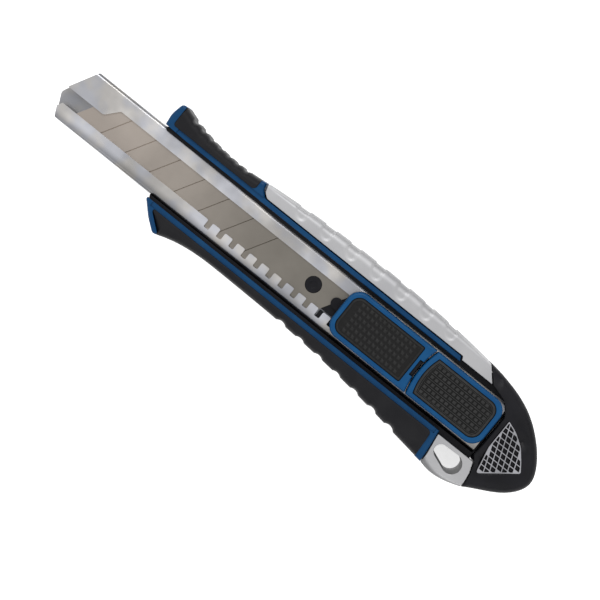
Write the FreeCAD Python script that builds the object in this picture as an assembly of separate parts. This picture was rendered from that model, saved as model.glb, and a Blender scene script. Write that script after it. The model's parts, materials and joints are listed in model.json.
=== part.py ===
import FreeCAD, Part
import math
import os

# Snap-off utility knife, 18 mm blade, lying on its back. Millimetres.
# +X runs from the blade tip to the end cap, +Y from the cutting edge to the spine, +Z up to the thumb slide.
# X = 0 is near the middle of the handle and Y = 0 is the centre line of the blade guide while the pieces are
# made. The finished pieces are then moved together, so that the origin is the centre of the underside.

V = FreeCAD.Vector

# Blade, from the usual 18 mm snap-off blade: 100 mm long, 0.5 mm thick, scored every 10 mm at 60 degrees.
BLADE_WIDTH = 18.0
BLADE_LENGTH = 100.0
BLADE_THICK = 0.5
BLADE_TIP_X = -95.6
SEGMENT = 10.0
SCORES = 7
SCORE_WIDTH = 0.3
SCORE_DEPTH = 0.14
SCORE_SLOPE = 1.0 / math.tan(math.radians(60.0))
BLADE_Z = 12.7
BLADE_HOLE = (0.45, 0.0, 2.8)

# Blade guide: a folded sheet-steel channel.
GUIDE_HALF = 10.1
GUIDE_BOTTOM = 9.6
GUIDE_TOP = 14.0
SHEET = 0.7
FOLD_R = 1.2
LIP_UPPER = 4.65
LIP_LOWER = -4.85
GUIDE_REAR = 73.6
NOTCHES = 11
NOTCH_PITCH = 5.04
NOTCH_FIRST_X = -37.8
NOTCH_WIDTH = 1.95
NOTCH_BOTTOM = -7.5
RIVETS = [(-55.0, 5.0), (-55.0, -5.0)]
RIVET_R = 1.2

# Handle heights.
SHELL_SPLIT = 9.0
SHELL_TOP = 14.2
RIM_TOP = 15.0
TRIM_TOP = 17.6
GRIP_BOTTOM = 0.0
GRIP_TOP = 18.5
COVER_BOTTOM = 0.6
COVER_TOP = 18.2
SLIDE_TOP = 20.0
PAD_TOP = 20.3
GAP = 0.3

# Handle widths at the shells, the trim and the rim.
SHELL_HALF = 13.6
RIM_UPPER = 9.1
RIM_LOWER = -10.15
TRIM_UPPER = 10.25
TRIM_LOWER = -11.15
TRIM_WIDTH = 1.65
SHELL_REAR = 74.2

# Slides.
SLIDE_HALF = 8.55
RIM_WIDTH = 1.6
SLIDE_FRONT = 11.6
SLIDE_REAR = 44.45
BUTTON_FRONT = 44.95
BUTTON_REAR = 73.3
ARC_RISE = 1.25
CORNER_R = 4.6
BUTTON_TRAVEL = 1.2
BUTTON_BOTTOM = GUIDE_TOP + GAP + BUTTON_TRAVEL
SLIDE_PAD = (13.2, 40.95, SLIDE_HALF - RIM_WIDTH)
POCKET_Z = 17.4
LATCH_X = 41.9
LATCH_HALF = 3.0
PEG_DIMPLE_R = 1.35

# Shells: outline corners with their radii, screws, and the magazine inside.
SHELL_SHOULDER = (66.0, 11.0)
SHELL_PLAN = [
    (-67.4, SHELL_HALF, 0.8),
    (-67.4, 10.0, 1.5),
    (-58.2, -11.0, 1.0),
    (-56.0, -SHELL_HALF, 1.0),
    (SHELL_REAR, -SHELL_HALF, 0.5),
    (SHELL_REAR, SHELL_SHOULDER[1], 0.5),
    (SHELL_SHOULDER[0], SHELL_HALF, 1.0),
]
SCREWS = [(x, y) for x in (-48.0, 10.0, 62.0) for y in (-11.85, 11.85)]
SCREW_R = 1.0
SCREW_HEAD_R = 1.6
SCREW_SINK = 2.0
MAGAZINE_FRONT = -43.0
MAGAZINE_HALF = 10.1
MAGAZINE_FLOOR = 2.4
REAR_STEP_UPPER = 52.3
REAR_STEP_LOWER = 61.2

# Ribs, scallops and scoops.
RIBS = 7
RIB_PITCH = 3.65
RIB_FIRST_X = -60.9
SCALLOPS = 7
SCALLOP_PITCH = 7.92
SCOOPS = 7
SCOOP_PITCH = 10.13
SCOOP_FIRST_X = -16.6
SCOOP_DEPTH = 0.35

# Grip outlines.
UPPER_TOP = [
    (-65.6, 19.05),
    (-62.0, 17.85),
    (-55.6, 16.35),
    (-48.2, 15.4),
    (-41.0, 15.2),
    (-36.0, 15.5),
    (-31.3, 16.1),
]
UPPER_PAD_X = (-66.2, -33.0)
UPPER_PAD_Y = TRIM_UPPER + TRIM_WIDTH
LOWER_OUT = [
    (-48.6, -18.9),
    (-43.5, -17.3),
    (-36.0, -16.05),
    (-22.0, -15.75),
    (-4.0, -16.0),
    (12.0, -16.75),
    (28.0, -18.1),
    (46.0, -20.4),
    (62.2, -22.6),
]
LOWER_PAD_Y = TRIM_LOWER - TRIM_WIDTH

# Spine cover and lanyard eye.
COVER_OUT = [(-30.5, 16.2), (-10.0, 17.75), (14.0, 18.4), (38.0, 17.9), (60.1, 16.1)]
HOLE_FRONT = (65.6, -15.95, 2.25)
HOLE_REAR = (70.6, -16.8, 3.25)
HOLE_DRAFT = 0.2
BRACKET_TOP = 18.0

# End cap and its badge.
CAP_OUT = [
    (60.6, 16.1),
    (70.0, 14.65),
    (80.0, 11.0),
    (88.0, 4.9),
    (92.7, -1.0),
    (94.35, -6.5),
    (92.3, -11.1),
    (86.0, -16.2),
    (77.75, -20.75),
]
CAP_BOTTOM = 0.5
CAP_TOP = 18.4
CAP_SEAT_X = SHELL_REAR + 0.3
BADGE_PLAN = [
    (76.1, 5.4, 0.3),
    (76.1, -5.2, 6),
    (78.1, -14.5, 0.7),
    (89.6, -5.5, 0.7),
    (87.5, -2.6, 6),
    (84.3, 1.2, 8),
    (80.2, 3.9, 8),
]
BADGE_DEPTH = 1.2
BADGE_GROUND_Z = CAP_TOP - 0.5
BADGE_BAR = 0.42
BADGE_ROW_PITCH = 1.75
BADGE_COLUMN_PITCH = 1.95
BADGE_LEAN = 0.39


def box(x0, x1, y0, y1, z0, z1):
    return Part.makeBox(x1 - x0, y1 - y0, z1 - z0, V(x0, y0, z0))


def cylinder(x, y, radius, z0, z1):
    return Part.makeCylinder(radius, z1 - z0, V(x, y, z0))


def corner_path(corners, closed=True):
    """Edges through (x, y, radius) corners, each corner rounded by its radius."""
    stops = []
    count = len(corners)
    for i, (x, y, radius) in enumerate(corners):
        here = V(x, y, 0)
        if radius == 0 or (not closed and i in (0, count - 1)):
            stops.append((here, None, here))
            continue
        before = (V(*corners[i - 1][:2], 0) - here).normalize()
        after = (V(*corners[(i + 1) % count][:2], 0) - here).normalize()
        half = before.getAngle(after) / 2
        inward = (before + after).normalize()
        centre = here + inward * (radius / math.sin(half))
        cut = radius / math.tan(half)
        stops.append((here + before * cut, centre - inward * radius, here + after * cut))
    edges = []
    for i, (start, middle, end) in enumerate(stops):
        if middle is not None:
            edges.append(Part.Arc(start, middle, end).toShape())
        if closed or i < count - 1:
            edges.append(Part.makeLine(end, stops[(i + 1) % count][0]))
    return edges


def curve(points):
    """One smooth edge through (x, y) points."""
    spline = Part.BSplineCurve()
    spline.interpolate([V(x, y, 0) for x, y in points])
    return spline.toShape()


def raise_face(edges, z0, z1):
    face = Part.Face(Part.Wire(Part.__sortEdges__(edges)))
    face.translate(V(0, 0, z0))
    return face.extrude(V(0, 0, z1 - z0))


def prism(corners, z0, z1):
    return raise_face(corner_path(corners), z0, z1)


def edges_at(solid, z):
    flat = []
    for edge in solid.Edges:
        ends = [abs(v.Z - z) for v in edge.Vertexes]
        if max(ends) < 1e-4 and abs(edge.CenterOfMass.z - z) < 1e-4:
            flat.append(edge)
    return flat


def soften(solid, z, radius, where=None):
    """Round the edges at height z that the test accepts."""
    chosen = [e for e in edges_at(solid, z) if where is None or where(e.CenterOfMass)]
    return solid.makeFillet(radius, chosen)


def only_solid(shape):
    return shape.removeSplitter().Solids[0]


def bowed_leaf(x0, x1, y0, y1, z_low, z_high, thick):
    """A thin leaf spring: an arc along X whose middle is at z_high and whose ends are at z_low."""
    middle = (x0 + x1) / 2
    lower = Part.Arc(V(x0, y0, z_low), V(middle, y0, z_high - thick), V(x1, y0, z_low)).toShape()
    upper = Part.Arc(V(x0, y0, z_low + thick), V(middle, y0, z_high), V(x1, y0, z_low + thick)).toShape()
    ends = [
        Part.makeLine(V(x, y0, z_low), V(x, y0, z_low + thick))
        for x in (x0, x1)
    ]
    face = Part.Face(Part.Wire(Part.__sortEdges__([lower, upper] + ends)))
    return face.extrude(V(0, y1 - y0, 0))


# ---- the blade and what carries it -------------------------------------------------------------------------


def blade_at(shift, z):
    """One blade: slanted ends, a ground edge, seven score lines and the hole in its tail."""
    half = BLADE_WIDTH / 2
    lean = BLADE_WIDTH * SCORE_SLOPE
    tip = BLADE_TIP_X + shift
    tail = tip + BLADE_LENGTH
    sheet = prism(
        [(tip, -half, 0), (tail, -half, 0), (tail + lean, half, 0), (tip + lean, half, 0)],
        z,
        z + BLADE_THICK,
    )
    bevel_width = 2.4
    bevel = Part.Face(
        Part.makePolygon(
            [
                V(tip - 1, -half - 0.1, z + 0.1),
                V(tip - 1, -half + bevel_width, z + BLADE_THICK),
                V(tip - 1, -half - 0.1, z + BLADE_THICK + 0.4),
                V(tip - 1, -half - 0.1, z + 0.1),
            ]
        )
    ).extrude(V(BLADE_LENGTH + 2, 0, 0))
    sheet = sheet.cut(bevel)
    top = z + BLADE_THICK
    for i in range(1, SCORES + 1):
        foot = tip + SEGMENT * i
        groove = Part.makePolygon(
            [
                V(foot - SCORE_WIDTH, -half, top + 0.1),
                V(foot + SCORE_WIDTH, -half, top + 0.1),
                V(foot, -half, top - SCORE_DEPTH),
                V(foot - SCORE_WIDTH, -half, top + 0.1),
            ]
        )
        sheet = sheet.cut(Part.Face(groove).extrude(V(lean, BLADE_WIDTH, 0)))
    hole_x, hole_y, hole_r = BLADE_HOLE
    return only_solid(sheet.cut(cylinder(hole_x + shift, hole_y, hole_r, z - 1, z + 2)))


def blade():
    return blade_at(0, BLADE_Z)


def spare_blades():
    shift = 56.0
    return Part.makeCompound([blade_at(shift, 5.0), blade_at(shift, 5.55)])


def tail_line(y):
    """X of the blade's tail end at height y."""
    return BLADE_TIP_X + BLADE_LENGTH + (y + BLADE_WIDTH / 2) * SCORE_SLOPE


def blade_carrier():
    """Sled inside the channel: a bed under the blade's tail, a stop behind it and a stem up to the slide."""
    bed_bottom = GUIDE_BOTTOM + SHEET + 0.2
    side = GUIDE_HALF - SHEET - 0.25
    pawl_bay = -4.5
    rear = 43.6
    bed = prism([(-6, pawl_bay, 1), (rear, pawl_bay, 1), (rear, side, 2), (-6, side, 2)], bed_bottom, BLADE_Z)
    play = 0.15
    stop = prism(
        [
            (tail_line(pawl_bay) + play, pawl_bay, 0),
            (rear, pawl_bay, 1),
            (rear, side, 2),
            (tail_line(side) + play, side, 0),
        ],
        BLADE_Z - 0.2,
        GUIDE_TOP - SHEET - 0.1,
    )
    stem = prism([(13.0, pawl_bay, 1), (42, pawl_bay, 1), (42, 4.3, 1), (13.0, 4.3, 1)], BLADE_Z, GUIDE_TOP + GAP)
    nose_z = BLADE_Z + BLADE_THICK + 0.05
    nose = cylinder(10.0, -0.1, 1.9, nose_z, GUIDE_TOP + 0.1)
    nose = nose.fuse(box(10.0, 14.0, -2.0, 1.8, nose_z, GUIDE_TOP + 0.1))
    hole_x, hole_y, hole_r = BLADE_HOLE
    body = bed.fuse([stop, stem, nose])
    return only_solid(body.cut(cylinder(hole_x, hole_y, hole_r - 0.05, bed_bottom + 0.6, BLADE_Z + 1)))


def blade_peg():
    hole_x, hole_y, hole_r = BLADE_HOLE
    top = BLADE_Z + BLADE_THICK + 0.1
    peg = cylinder(hole_x, hole_y, hole_r - 0.05, 11.1, top)
    peg = soften(peg, top, 0.25)
    return peg.cut(Part.makeCone(PEG_DIMPLE_R - 0.5, PEG_DIMPLE_R, 0.3, V(hole_x, hole_y, top - 0.3)))


def lock_pawl():
    """Sprung lever beside the sled. Its tooth rises into a notch of the guide's lower lip."""
    bottom = 11.0
    lever = prism([(7.2, -8.6, 0.6), (36, -8.6, 1), (36, -5.0, 1), (7.2, -5.0, 0)], bottom, 12.3)
    lip_underside = GUIDE_TOP - SHEET
    tooth = prism([(7.2, -7.2, 0.3), (8.3, -7.2, 0.3), (8.3, -5.2, 0), (7.2, -5.2, 0)], 12.0, lip_underside - 0.2)
    return only_solid(lever.fuse(tooth))


def pawl_spring():
    return bowed_leaf(12, 32, -8.0, -6.0, GUIDE_BOTTOM + SHEET + 0.1, 11.0, 0.2)


# ---- the slides --------------------------------------------------------------------------------------------


def slide_plan(inset):
    """Edges of the thumb slide's outline: round front corners and a hollow rear end."""
    front = SLIDE_FRONT + inset
    half = SLIDE_HALF - inset
    sides = corner_path(
        [
            (SLIDE_REAR, -half, 0),
            (front, -half, CORNER_R - inset * 0.6),
            (front, half, CORNER_R - inset * 0.6),
            (SLIDE_REAR, half, 0),
        ],
        closed=False,
    )
    rear = Part.Arc(V(SLIDE_REAR, half, 0), V(SLIDE_REAR - ARC_RISE, 0, 0), V(SLIDE_REAR, -half, 0))
    return sides + [rear.toShape()]


def button_plan(inset):
    """Edges of the rear button's outline: a bulging front end and round rear corners."""
    front = BUTTON_FRONT + inset
    rear = BUTTON_REAR - inset * 1.1
    half = SLIDE_HALF - inset
    sides = corner_path(
        [
            (front, half, 0),
            (rear, half, CORNER_R - inset * 0.6),
            (rear, -half, CORNER_R - inset * 0.6),
            (front, -half, 0),
        ],
        closed=False,
    )
    nose = Part.Arc(V(front, -half, 0), V(front - ARC_RISE, 0, 0), V(front, half, 0))
    return sides + [nose.toShape()]


def slide_pad_corners(clearance):
    front, rear, half = SLIDE_PAD
    half -= clearance
    front += clearance
    rear -= clearance
    return [(front, -half, 3.4), (rear, -half, 0.7), (rear, half, 0.7), (front, half, 3.4)]


def slide_frame():
    frame = raise_face(slide_plan(0), GUIDE_TOP + GAP, SLIDE_TOP)
    frame = soften(frame, SLIDE_TOP, 0.9)
    frame = frame.cut(prism(slide_pad_corners(0), POCKET_Z, SLIDE_TOP + 1))
    notch = box(LATCH_X, SLIDE_REAR + 1, -LATCH_HALF, LATCH_HALF, RIM_TOP, SLIDE_TOP + 1)
    return only_solid(frame.cut(notch))


def slide_pad():
    pad = prism(slide_pad_corners(0.05), POCKET_Z, PAD_TOP)
    return soften(pad, PAD_TOP, 0.6)


def slide_latch():
    tab = box(LATCH_X, SLIDE_REAR - ARC_RISE - 0.05, -LATCH_HALF + 0.1, LATCH_HALF - 0.1, RIM_TOP, SLIDE_TOP - 1.2)
    return soften(tab, SLIDE_TOP - 1.2, 0.3)


def button_frame():
    frame = raise_face(button_plan(0), BUTTON_BOTTOM, SLIDE_TOP)
    frame = soften(frame, SLIDE_TOP, 0.9)
    return only_solid(frame.cut(raise_face(button_plan(RIM_WIDTH), POCKET_Z, SLIDE_TOP + 1)))


def button_pad():
    pad = raise_face(button_plan(RIM_WIDTH + 0.05), POCKET_Z, PAD_TOP)
    return soften(pad, PAD_TOP, 0.6)


def button_base():
    """Foot of the button: a stem between the guide's lips and a flange that stays under them."""
    flange_top = GUIDE_TOP - SHEET - 0.2
    flange = prism([(48, -8.6, 1), (70, -8.6, 1), (70, 8.6, 1), (48, 8.6, 1)], 11.9, flange_top)
    stem = box(50, 68, LIP_LOWER + 0.4, LIP_UPPER - 0.4, 12.0, BUTTON_BOTTOM)
    return only_solid(flange.fuse(stem))


def button_spring():
    return bowed_leaf(51, 67, -3.0, 3.0, GUIDE_BOTTOM + SHEET + 0.05, 11.9, 0.25)


# ---- the guide ---------------------------------------------------------------------------------------------


def guide_block(shrink):
    """Rounded bar along X, smaller than the guide's outside by the given amount on every long side."""
    half = GUIDE_HALF - shrink
    bottom = GUIDE_BOTTOM + shrink
    top = GUIDE_TOP - shrink
    bar = box(-105, GUIDE_REAR, -half, half, bottom, top)
    long_edges = [e for e in bar.Edges if abs(e.CenterOfMass.x - (GUIDE_REAR - 105) / 2) < 0.01]
    return bar.makeFillet(FOLD_R - shrink, long_edges)


def slot_corners():
    """The opening between the lips, with the notches along its lower side."""
    corners = [(-110, 0.35, 0), (-86.0, 0.35, 1.6), (-82.2, LIP_UPPER, 1.2), (80, LIP_UPPER, 0)]
    corners.append((80, LIP_LOWER, 0))
    half = NOTCH_WIDTH / 2
    for i in reversed(range(NOTCHES)):
        x = NOTCH_FIRST_X + NOTCH_PITCH * i
        corners += [
            (x + half, LIP_LOWER, 0.45),
            (x + half, NOTCH_BOTTOM, 0.4),
            (x - half, NOTCH_BOTTOM, 0.4),
            (x - half, LIP_LOWER, 0.45),
        ]
    corners += [(-98.7, LIP_LOWER, 0.3), (-99.9, -7.0, 0), (-110, -7.0, 0)]
    return corners


def blade_guide():
    tip = [
        (-95.2, GUIDE_HALF, 0.6),
        (-100.3, 0.8, 0.6),
        (-101.8, -2.4, 1.8),
        (-98.0, -GUIDE_HALF, 0.6),
        (80, -GUIDE_HALF - 1, 0),
        (80, GUIDE_HALF + 1, 0),
    ]
    guide = guide_block(0).cut(guide_block(SHEET))
    guide = guide.common(prism(tip, 0, 30))
    guide = guide.cut(prism(slot_corners(), GUIDE_TOP - SHEET - 0.2, GUIDE_TOP + 1))
    guide = guide.cut(box(GUIDE_REAR - 0.01, 90, -9, 9, GUIDE_BOTTOM + SHEET, GUIDE_TOP - SHEET))
    for x, y in RIVETS:
        guide = guide.cut(cylinder(x, y, RIVET_R, GUIDE_BOTTOM - 1, GUIDE_BOTTOM + SHEET + 0.1))
    return only_solid(guide)


def guide_rivets():
    rivets = []
    for x, y in RIVETS:
        shank = cylinder(x, y, RIVET_R, 5.5, GUIDE_BOTTOM + SHEET)
        head = cylinder(x, y, RIVET_R + 0.8, GUIDE_BOTTOM + SHEET, GUIDE_BOTTOM + SHEET + 0.5)
        rivets.append(shank.fuse(soften(head, GUIDE_BOTTOM + SHEET + 0.5, 0.3)).removeSplitter())
    return Part.makeCompound(rivets)


# ---- the shells --------------------------------------------------------------------------------------------


def back_shell():
    """Rear half of the body: a tray for the spare blades, open at its rear end, and a ribbed nose."""
    shell = prism(SHELL_PLAN, 0, SHELL_SPLIT)
    shell = soften(shell, 0, 0.5)
    magazine = box(MAGAZINE_FRONT, SHELL_REAR + 1, -MAGAZINE_HALF, MAGAZINE_HALF, MAGAZINE_FLOOR, SHELL_SPLIT + 1)
    shell = shell.cut(magazine)
    for x, y in RIVETS:
        shell = shell.cut(cylinder(x, y, RIVET_R, 5.5, SHELL_SPLIT + 1))
    for x, y in SCREWS:
        shell = shell.cut(cylinder(x, y, SCREW_R, -1, SHELL_SPLIT + 1))
        shell = shell.cut(cylinder(x, y, SCREW_HEAD_R, -1, SCREW_SINK))
    return only_solid(shell)


def rim_band(y0, y1, x_front, x_rear):
    return box(x_front, x_rear, y0, y1, SHELL_TOP - 0.5, RIM_TOP)


def front_shell():
    """Front half of the body: it closes the magazine, holds the guide and frames it with a raised rim."""
    shell = prism(SHELL_PLAN, SHELL_SPLIT, SHELL_TOP)
    rim_low = SHELL_TOP - 1
    rim_rear = SHELL_REAR - 0.4
    corner = [(-67.8, TRIM_UPPER, 0), (-67.0, RIM_UPPER, 0.9), (-60, RIM_UPPER, 0), (-60, TRIM_UPPER, 0)]
    upper = box(-66.0, rim_rear, RIM_UPPER, TRIM_UPPER, rim_low, RIM_TOP)
    upper = upper.fuse(prism(corner, rim_low, RIM_TOP))
    upper = upper.fuse(rim_band(RIM_UPPER, 11.0, REAR_STEP_UPPER, rim_rear))
    lower = box(-58.0, rim_rear, TRIM_LOWER, RIM_LOWER, rim_low, RIM_TOP)
    lower = lower.fuse(rim_band(-12.0, RIM_LOWER, REAR_STEP_LOWER, rim_rear))
    shell = shell.fuse([upper, lower])
    channel = box(-80, GUIDE_REAR + 0.05, -GUIDE_HALF - 0.02, GUIDE_HALF + 0.02, GUIDE_BOTTOM, GUIDE_TOP)
    mouth = box(-80, GUIDE_REAR + 0.05, RIM_LOWER, RIM_UPPER, GUIDE_TOP - 1, RIM_TOP + 1)
    shell = shell.cut([channel, mouth])
    for x, y in RIVETS:
        shell = shell.cut(cylinder(x, y, RIVET_R, 0, 20))
    for x, y in SCREWS:
        shell = shell.cut(cylinder(x, y, SCREW_R, 0, SHELL_TOP - 1.2))
    return only_solid(shell)


def shell_screws():
    """Six countersunk screws that hold the two shells together."""
    screws = []
    for x, y in SCREWS:
        head = cylinder(x, y, SCREW_HEAD_R, 0.3, SCREW_SINK)
        head = head.cut(box(x - 1.0, x + 1.0, y - 0.2, y + 0.2, 0, 1.0))
        head = head.cut(box(x - 0.2, x + 0.2, y - 1.0, y + 1.0, 0, 1.0))
        shank = cylinder(x, y, SCREW_R, SCREW_SINK, SHELL_TOP - 1.2)
        screws.append(head.fuse(shank).removeSplitter())
    return Part.makeCompound(screws)


def magazine_tray():
    """Folded tray in the back shell that keeps the spare blades flat."""
    front = MAGAZINE_FRONT + 0.2
    rear = SHELL_REAR - 1.5
    half = MAGAZINE_HALF - 0.05
    wall = 0.6
    top = 7.0
    tray = box(front, rear, -half, half, MAGAZINE_FLOOR, top)
    tray = tray.cut(box(front + wall, rear + 1, -half + wall, half - wall, MAGAZINE_FLOOR + wall, top - wall))
    return only_solid(tray.cut(box(front + 6, rear + 1, -half + 2.2, half - 2.2, top - 1, top + 1)))


def magazine_spring():
    return bowed_leaf(-20, 50, -4.0, 4.0, MAGAZINE_FLOOR + 0.65, 4.95, 0.25)


# ---- the grips ---------------------------------------------------------------------------------------------


def upper_grip_plan():
    """Edges of the front grip: flared front end, dished top and a rear end that wraps under the spine cover."""
    front = corner_path(
        [
            (-60.0, TRIM_UPPER + 0.1, 0),
            (-68.3, TRIM_UPPER + 0.4, 0),
            (-68.8, 14.5, 8),
            (-67.8, 19.25, 1.4),
            (-65.6, 19.05, 0),
        ],
        closed=False,
    )
    rear = corner_path(
        [(-31.3, 16.1, 0), (-30.7, 13.9, 1.5), (-28.8, 12.0, 1.5), (-26.0, UPPER_PAD_Y, 0)],
        closed=False,
    )
    bottom = Part.makeLine(V(-26.0, UPPER_PAD_Y, 0), V(-26.0, TRIM_UPPER + 0.1, 0))
    closing = Part.makeLine(V(-26.0, TRIM_UPPER + 0.1, 0), V(-60.0, TRIM_UPPER + 0.1, 0))
    return front + [curve(UPPER_TOP)] + rear + [bottom, closing]


def is_outer_upper(point):
    return point.y > TRIM_UPPER + 0.3 and point.x < -27


def upper_grip_block(inset):
    block = raise_face(upper_grip_plan(), GRIP_BOTTOM + inset, GRIP_TOP - inset)
    block = soften(block, GRIP_TOP - inset, 1.1, is_outer_upper)
    return soften(block, GRIP_BOTTOM + inset, 1.1, is_outer_upper)


def upper_pad_zone():
    front, rear = UPPER_PAD_X
    return prism([(front, UPPER_PAD_Y, 1), (rear, UPPER_PAD_Y, 1.5), (rear, 30, 0), (front, 30, 0)], -5, 30)


def upper_core():
    return box(UPPER_PAD_X[0] - 0.1, UPPER_PAD_X[1] + 0.1, SHELL_HALF, SHELL_HALF + 0.6, 4.0, 13.0)


def beside_shell(y0, y1):
    return box(-120, 120, y0, y1, -5, SHELL_TOP)


def upper_grip_base():
    """Hard frame of the front grip, with the trim strip that runs back under the spine cover."""
    base = upper_grip_block(0.35).cut(upper_pad_zone().cut(upper_core()))
    strip = prism(
        [(-30, TRIM_UPPER, 0), (52.2, TRIM_UPPER, 0), (51.4, UPPER_PAD_Y, 0.3), (-30, UPPER_PAD_Y, 0)],
        SHELL_TOP,
        TRIM_TOP,
    )
    strip = soften(strip, TRIM_TOP, 0.35, lambda point: point.x > -29)
    base = base.cut(beside_shell(-20, SHELL_HALF))
    base = base.cut(box(-64, 0, 0, UPPER_PAD_Y, TRIM_TOP, 30))
    return only_solid(base.fuse(strip))


def upper_grip_pad():
    """Soft ribbed pad that wraps the frame from face to face."""
    pad = upper_grip_block(0).common(upper_pad_zone()).cut(upper_core())
    pad = pad.cut(beside_shell(-20, SHELL_HALF))
    floor = 14.2
    for i in range(RIBS):
        x = RIB_FIRST_X + RIB_PITCH * i
        low = floor + 0.55 + 2.1 * ((RIBS - 1 - i) / (RIBS - 1)) ** 2
        pad = pad.cut(cylinder(x, low + 1.3, 1.3, -5, 30))
    return only_solid(pad)


def lower_grip_plan():
    """Edges of the long grip: a finger guard at its front and a belly that deepens to the rear."""
    front = corner_path(
        [
            (-48.6, -18.9, 0),
            (-50.2, -19.2, 1.3),
            (-54.2, -16.1, 12),
            (-58.3, -11.9, 0),
            (-58.3, TRIM_LOWER, 0),
            (61.0, TRIM_LOWER, 0),
            (62.1, -19.2, 6),
            (62.2, -22.6, 0),
        ],
        closed=False,
    )
    return front + [curve(LOWER_OUT)]


def is_outer_lower(point):
    return point.y < TRIM_LOWER - 1.4


def lower_grip_block(inset):
    block = raise_face(lower_grip_plan(), GRIP_BOTTOM + inset, GRIP_TOP - inset)
    block = soften(block, GRIP_TOP - inset, 1.1, is_outer_lower)
    return soften(block, GRIP_BOTTOM + inset, 1.1, is_outer_lower)


def lower_pad_zone():
    return prism(
        [
            (-54.3, LOWER_PAD_Y, 0.4),
            (59.2, LOWER_PAD_Y, 1.5),
            (60.3, -30, 0),
            (-48.9, -30, 0),
            (-48.9, -18.2, 0),
            (-54.3, -13.8, 1.0),
        ],
        -5,
        30,
    )


def lower_core():
    return box(-53, 59.5, -SHELL_HALF - 0.7, -SHELL_HALF, 4.0, 13.0)


def lower_grip_base():
    """Hard frame of the long grip."""
    base = lower_grip_block(0.35).cut(lower_pad_zone().cut(lower_core()))
    base = base.cut(beside_shell(-SHELL_HALF, 20))
    return only_solid(base.cut(box(-56, 60, LOWER_PAD_Y, 0, TRIM_TOP, 30)))


def lower_grip_pad():
    """Soft pad of the long grip, with shallow scallops for the fingers."""
    pad = lower_grip_block(0).common(lower_pad_zone()).cut(lower_core())
    pad = pad.cut(beside_shell(-SHELL_HALF, 20))
    radius = 2.9
    for i in range(SCALLOPS):
        x = SCALLOP_PITCH * i
        top = -15.4 - 0.42 * i - 0.052 * i * i
        pad = pad.cut(cylinder(x, top - radius, radius, -5, 30))
    return only_solid(pad)


# ---- the metal covers --------------------------------------------------------------------------------------


def spine_block(inset):
    """The spine cover without its scoops, smaller all round by the inset."""
    top = [(x, y - inset) for x, y in COVER_OUT]
    front = corner_path([(*top[0], 0), (-29.9, 13.6, 1.5), (-28.2, 12.25, 1.2), (-20, 12.25, 0)], closed=False)
    lower = corner_path(
        [
            (-20, 12.25, 0),
            (REAR_STEP_UPPER - 0.4, 12.25, 0.3),
            (REAR_STEP_UPPER, 11.05, 0),
            (64.6, 11.05, 0),
            (*top[-1], 0),
        ],
        closed=False,
    )
    low_z = COVER_BOTTOM + inset
    high_z = COVER_TOP - inset
    block = raise_face(front + lower + [curve(top)], low_z, high_z)

    def on_spine(point):
        return point.y > 16.4

    block = soften(block, high_z, 2.2, on_spine)
    return soften(block, low_z, 2.2, on_spine)


def spine_cover():
    """Light metal strip along the spine with seven thumb scoops."""
    cover = spine_block(0)
    inner = spine_block(SCOOP_DEPTH)
    for i in range(SCOOPS):
        x = SCOOP_FIRST_X + SCOOP_PITCH * i
        scoop = cylinder(x, 15.5, 2.0, -5, 30).fuse(box(x - 2.0, x + 2.0, 15.5, 25, -5, 30))
        cover = cover.cut(scoop.cut(inner))
    cover = cover.cut(beside_shell(-20, SHELL_HALF))
    return only_solid(cover)


def lanyard_bracket():
    """Light metal eye at the rear corner. Its hole narrows a little towards the middle from both faces."""
    sides = corner_path(
        [
            (77.3, -20.95, 0),
            (77.3, -19.0, 4),
            (76.8, -15.6, 4),
            (75.5, -12.1, 0.8),
            (61.4, -12.1, 0.3),
            (62.5, -19.2, 5),
            (62.6, -22.6, 0),
        ],
        closed=False,
    )
    belly = curve([(62.6, -22.6), (67.5, -23.35), (73.0, -22.45), (77.3, -20.95)])
    bracket = raise_face(sides + [belly], COVER_BOTTOM, BRACKET_TOP)

    def on_belly(point):
        return point.y < -21.2

    bracket = soften(bracket, BRACKET_TOP, 1.7, on_belly)
    bracket = soften(bracket, COVER_BOTTOM, 1.7, on_belly)
    bracket = bracket.cut(eye_cut())
    return only_solid(bracket.cut(beside_shell(-SHELL_HALF, 20)))


def teardrop(shrink, z):
    """Outline of the eye: two circles of different size joined by their tangents."""
    ax, ay, ar = HOLE_FRONT
    bx, by, br = HOLE_REAR
    ar -= shrink
    br -= shrink
    along = V(bx - ax, by - ay, 0)
    length = along.Length
    heading = math.atan2(along.y, along.x)
    lean = math.acos((ar - br) / length)

    def rim(cx, cy, radius, angle):
        return V(cx + radius * math.cos(angle), cy + radius * math.sin(angle), z)

    a_up = rim(ax, ay, ar, heading + lean)
    a_down = rim(ax, ay, ar, heading - lean)
    b_up = rim(bx, by, br, heading + lean)
    b_down = rim(bx, by, br, heading - lean)
    return Part.Wire(
        [
            Part.Arc(a_up, rim(ax, ay, ar, heading + math.pi), a_down).toShape(),
            Part.makeLine(a_down, b_down),
            Part.Arc(b_down, rim(bx, by, br, heading), b_up).toShape(),
            Part.makeLine(b_up, a_up),
        ]
    )


def eye_cut():
    middle = (COVER_BOTTOM + BRACKET_TOP) / 2
    upper = Part.makeLoft([teardrop(HOLE_DRAFT, middle), teardrop(-HOLE_DRAFT, BRACKET_TOP + 0.5)], True, True)
    lower = Part.makeLoft([teardrop(-HOLE_DRAFT, COVER_BOTTOM - 0.5), teardrop(HOLE_DRAFT, middle)], True, True)
    return upper.fuse(lower)


# ---- the end cap -------------------------------------------------------------------------------------------


def cap_plan(inner):
    return corner_path([(CAP_OUT[-1][0], CAP_OUT[-1][1], 0)] + inner + [(*CAP_OUT[0], 0)], closed=False) + [
        curve(CAP_OUT)
    ]


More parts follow.
